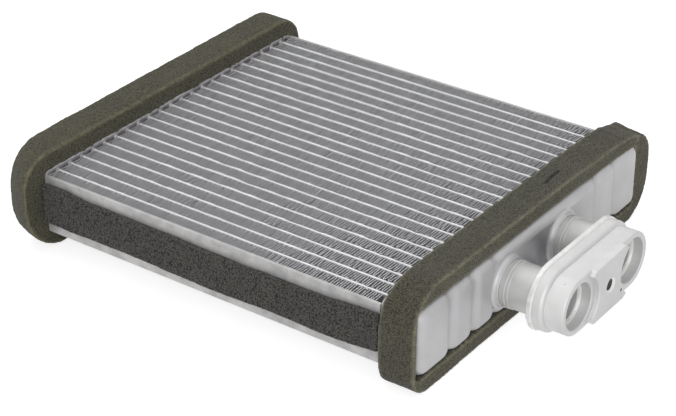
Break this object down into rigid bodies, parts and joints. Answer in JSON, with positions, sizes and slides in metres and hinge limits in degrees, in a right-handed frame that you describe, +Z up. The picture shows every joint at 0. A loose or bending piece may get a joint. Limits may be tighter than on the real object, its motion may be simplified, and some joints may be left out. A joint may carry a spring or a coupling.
{
  "type": "heater core",
  "caption": "Brazed aluminium heater core: flat tubes and corrugated fins between two tanks, an oval block with two ports, and foam sealing strips.",
  "frame": {"origin": "centre of the underside of the bounding box, on the surface that the foam strips rest on", "axes": "+X along the flat tubes towards the two ports, +Y across the tubes from the front foam strip to the back, +Z up through the core's depth, the way the air goes"},
  "size_m": [0.2478, 0.1968, 0.047],
  "materials": {
    "tube": "satin",
    "fin": "satin",
    "side_plate": "satin",
    "header": "satin",
    "tank": "satin",
    "baffle": "satin",
    "pipe": "satin",
    "port_block": "machined satin",
    "left_foam": "open-cell foam",
    "right_foam": "open-cell foam",
    "front_foam": "open-cell foam"
  },
  "bodies": {
    "root": {"tube_01": "tube", "tube_02": "tube", "tube_03": "tube", "tube_04": "tube", "tube_05": "tube", "tube_06": "tube", "tube_07": "tube", "tube_08": "tube", "tube_09": "tube", "tube_10": "tube", "tube_11": "tube", "tube_12": "tube", "tube_13": "tube", "tube_14": "tube", "tube_15": "tube", "tube_16": "tube", "tube_17": "tube", "tube_18": "tube", "tube_19": "tube", "tube_20": "tube", "tube_21": "tube", "tube_22": "tube", "fin_01": "fin", "fin_02": "fin", "fin_03": "fin", "fin_04": "fin", "fin_05": "fin", "fin_06": "fin", "fin_07": "fin", "fin_08": "fin", "fin_09": "fin", "fin_10": "fin", "fin_11": "fin", "fin_12": "fin", "fin_13": "fin", "fin_14": "fin", "fin_15": "fin", "fin_16": "fin", "fin_17": "fin", "fin_18": "fin", "fin_19": "fin", "fin_20": "fin", "fin_21": "fin", "fin_22": "fin", "fin_23": "fin", "front_side_plate": "side_plate", "back_side_plate": "side_plate", "left_header": "header", "right_header": "header", "return_tank": "tank", "port_tank": "tank", "tank_baffle": "baffle", "front_pipe": "pipe", "back_pipe": "pipe", "port_block": "port_block", "left_foam": "left_foam", "right_foam": "right_foam", "front_foam": "front_foam"}
  },
  "joints": []
}
